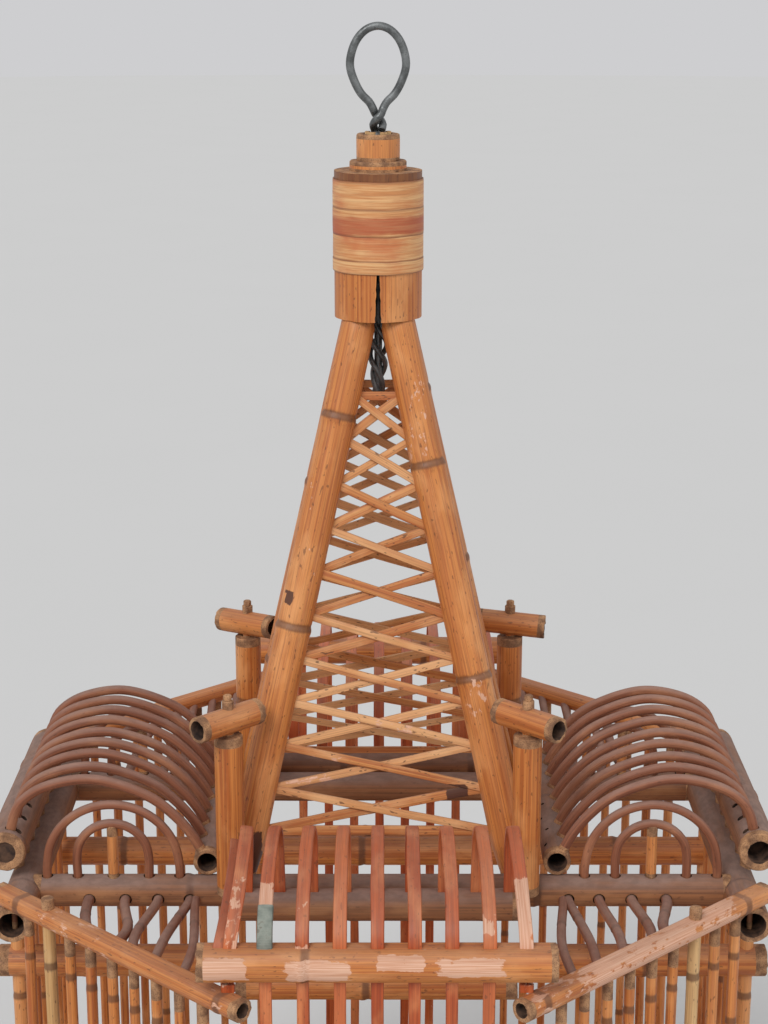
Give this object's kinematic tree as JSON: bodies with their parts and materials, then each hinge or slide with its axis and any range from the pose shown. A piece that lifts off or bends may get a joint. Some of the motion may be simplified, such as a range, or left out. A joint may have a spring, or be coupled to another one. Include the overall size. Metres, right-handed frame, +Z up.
{
  "type": "bamboo birdcage",
  "caption": "Octagonal bamboo bird cage with barrel-vaulted arms, a laced pyramid tower, a hanging ring, a lift-up door and a pull-out tray.",
  "frame": {"origin": "on the table under the middle of the cage", "axes": "+Z up along the tower, -Y towards the front with the door, +X to the right seen from the front"},
  "size_m": [0.4384, 0.4908, 0.8288],
  "materials": {
    "honey_cane": "honey-orange bamboo cane, satin rind, scuffed",
    "dusty_cane": "bamboo cane under grey-brown dust",
    "rib_cane": "bent reddish-brown rods",
    "slat_cane": "split cane slats, worn edges",
    "lacing_cane": "flat split cane strips",
    "veneer": "thin straw-coloured veneer wrapping",
    "grey_wire": "dull lead-grey wire",
    "floor_board": "plain thin board"
  },
  "bodies": {
    "cage": {"cap_tube": "honey_cane", "cap_wrap": "veneer", "collar_middle": "honey_cane", "collar_top": "honey_cane", "ring_plug": "floor_board", "hanging_ring": "grey_wire", "leg_front_left": "honey_cane", "leg_front_right": "honey_cane", "leg_rear_left": "honey_cane", "leg_rear_right": "honey_cane", "lacing_front": "lacing_cane", "lacing_right": "lacing_cane", "lacing_rear": "lacing_cane", "lacing_left": "lacing_cane", "post_front_left": "honey_cane", "crosshead_front_left": "honey_cane", "post_front_right": "honey_cane", "crosshead_front_right": "honey_cane", "post_rear_left": "honey_cane", "crosshead_rear_left": "honey_cane", "post_rear_right": "honey_cane", "crosshead_rear_right": "honey_cane", "cross_bar_front": "dusty_cane", "hood_rest_bar_front": "dusty_cane", "cross_bar_rear": "dusty_cane", "hood_rest_bar_rear": "dusty_cane", "arch_outer_front_left": "rib_cane", "arch_inner_front_left": "rib_cane", "arch_outer_front_right": "rib_cane", "arch_inner_front_right": "rib_cane", "arch_outer_rear_left": "rib_cane", "arch_inner_rear_left": "rib_cane", "arch_outer_rear_right": "rib_cane", "arch_inner_rear_right": "rib_cane", "side_tube_left": "dusty_cane", "eave_tube_left": "dusty_cane", "vault_left": "rib_cane", "side_tube_right": "dusty_cane", "eave_tube_right": "dusty_cane", "vault_right": "rib_cane", "shoulder_front_left": "honey_cane", "shoulder_front_right": "honey_cane", "shoulder_rear_left": "honey_cane", "shoulder_rear_right": "honey_cane", "hood_bar_front": "honey_cane", "tie_bar_front": "honey_cane", "short_tie_bar_front": "honey_cane", "front_wall": "slat_cane", "hood_bar_rear": "honey_cane", "tie_bar_rear": "honey_cane", "short_tie_bar_rear": "honey_cane", "rear_wall": "slat_cane", "side_wall_left": "honey_cane", "side_wall_right": "honey_cane", "runner_front": "honey_cane", "runner_rear": "honey_cane", "perch": "honey_cane"},
    "door": {"door": "honey_cane"},
    "tray": {"tray": "floor_board"}
  },
  "joints": [
    {"name": "door_lift", "type": "slide", "parent": "cage", "child": "door", "axis": [0, 0, 1], "range_m": [0, 0.095]},
    {"name": "tray_slide", "type": "slide", "parent": "cage", "child": "tray", "axis": [0, -1, 0], "range_m": [0, 0.2]}
  ]
}
